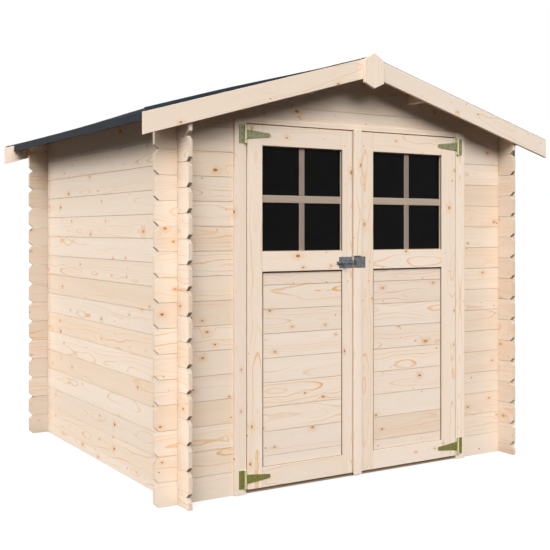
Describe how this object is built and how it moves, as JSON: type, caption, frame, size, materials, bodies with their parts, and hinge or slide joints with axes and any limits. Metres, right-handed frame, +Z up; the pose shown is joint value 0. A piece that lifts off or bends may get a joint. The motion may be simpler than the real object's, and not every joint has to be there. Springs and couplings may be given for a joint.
{
  "type": "wooden garden shed",
  "caption": "Gabled garden shed of interlocking horizontal boards with half-glazed double doors on strap hinges, a sliding bolt and a felted roof.",
  "frame": {"origin": "on the ground, in the middle of the footprint", "axes": "+Z up, the doors face -Y, +X to the right as seen from the front"},
  "size_m": [2.44, 2.1272, 2.1028],
  "materials": {
    "wall_wood": "planed, untreated",
    "trim_wood": "planed, untreated",
    "floor_wood": "sawn, untreated",
    "bar_wood": "matt stain",
    "felt": "mineral-faced bitumen felt",
    "hinge_metal": "olive zinc plate",
    "bolt_metal": "galvanised",
    "glass": "clear"
  },
  "bodies": {
    "shed": {"floor_bearers": "floor_wood", "floor_boards": "floor_wood", "door_sill": "trim_wood", "left_wall": "wall_wood", "right_wall": "wall_wood", "back_wall": "wall_wood", "back_gable": "wall_wood", "front_wall_left": "wall_wood", "front_wall_right": "wall_wood", "front_gable": "wall_wood", "left_jamb": "trim_wood", "right_jamb": "trim_wood", "door_head": "trim_wood", "left_purlin": "wall_wood", "right_purlin": "wall_wood", "left_roof_boards": "wall_wood", "right_roof_boards": "wall_wood", "left_roof_felt": "felt", "right_roof_felt": "felt", "front_left_bargeboard": "trim_wood", "front_right_bargeboard": "trim_wood", "back_left_bargeboard": "trim_wood", "back_right_bargeboard": "trim_wood", "front_finial": "trim_wood", "back_finial": "trim_wood", "left_hinge_plates": "hinge_metal", "right_hinge_plates": "hinge_metal"},
    "left_door": {"left_door_frame": "trim_wood", "left_door_panel": "trim_wood", "left_door_glass": "glass", "left_door_bars": "bar_wood", "left_hinge_straps": "hinge_metal", "bolt_plate": "bolt_metal"},
    "right_door": {"right_door_frame": "trim_wood", "right_door_panel": "trim_wood", "right_door_glass": "glass", "right_door_bars": "bar_wood", "right_hinge_straps": "hinge_metal", "cover_strip": "trim_wood", "bolt_keeper": "bolt_metal"},
    "door_bolt": {"bolt": "bolt_metal"}
  },
  "joints": [
    {"name": "left_door_hinge", "type": "hinge", "parent": "shed", "child": "left_door", "pos_m": [-0.659, -0.94, 0], "axis": [0, 0, -1], "range_deg": [0, 150]},
    {"name": "right_door_hinge", "type": "hinge", "parent": "shed", "child": "right_door", "pos_m": [0.659, -0.94, 0], "axis": [0, 0, 1], "range_deg": [0, 150]},
    {"name": "bolt_slide", "type": "slide", "parent": "left_door", "child": "door_bolt", "axis": [1, 0, 0], "range_m": [0, 0.03]}
  ]
}
